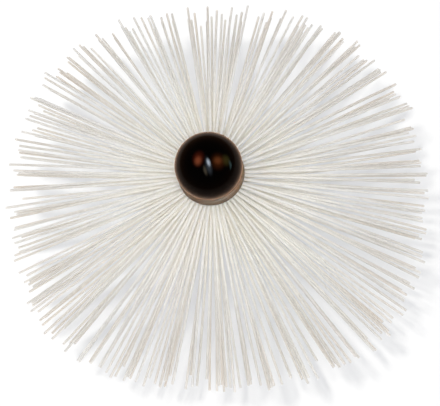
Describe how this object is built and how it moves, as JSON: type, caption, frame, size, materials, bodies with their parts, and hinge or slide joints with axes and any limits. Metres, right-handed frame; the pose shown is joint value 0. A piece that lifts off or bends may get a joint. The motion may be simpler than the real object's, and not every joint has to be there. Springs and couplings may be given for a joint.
{
  "type": "chimney brush",
  "caption": "Push-type chimney brush head: rows of straight nylon strands clamped on a threaded spindle, a guide ball in front and a hexagonal rod socket behind.",
  "frame": {"origin": "on the spindle's axis, in the rod socket's rear face, which the brush stands on", "axes": "+Z along the spindle towards the guide ball; +X across a pair of the socket's flats, along its pin"},
  "size_m": [0.2679, 0.2526, 0.1048],
  "materials": {
    "ball_black": "gloss",
    "insert_brass": "machined",
    "collar_wood": "varnished satin",
    "nylon": "satin, slightly translucent",
    "zinc_steel": "zinc plated",
    "dark_steel": "oiled spring steel"
  },
  "bodies": {
    "root": {"guide_ball": "ball_black", "ball_insert": "insert_brass", "front_collar": "collar_wood", "front_plate": "zinc_steel", "bristle_row_1": "nylon", "bristle_row_2": "nylon", "bristle_row_3": "nylon", "bristle_row_4": "nylon", "bristle_row_5": "nylon", "bristle_row_6": "nylon", "row_spacer_1": "zinc_steel", "row_spacer_2": "zinc_steel", "row_spacer_3": "zinc_steel", "row_spacer_4": "zinc_steel", "row_spacer_5": "zinc_steel", "core_sleeve": "zinc_steel", "rear_plate": "zinc_steel", "plain_washer": "zinc_steel", "spring_washer": "dark_steel", "lock_nut": "zinc_steel", "spindle": "zinc_steel", "rod_socket": "zinc_steel", "socket_pin": "dark_steel"}
  },
  "joints": []
}
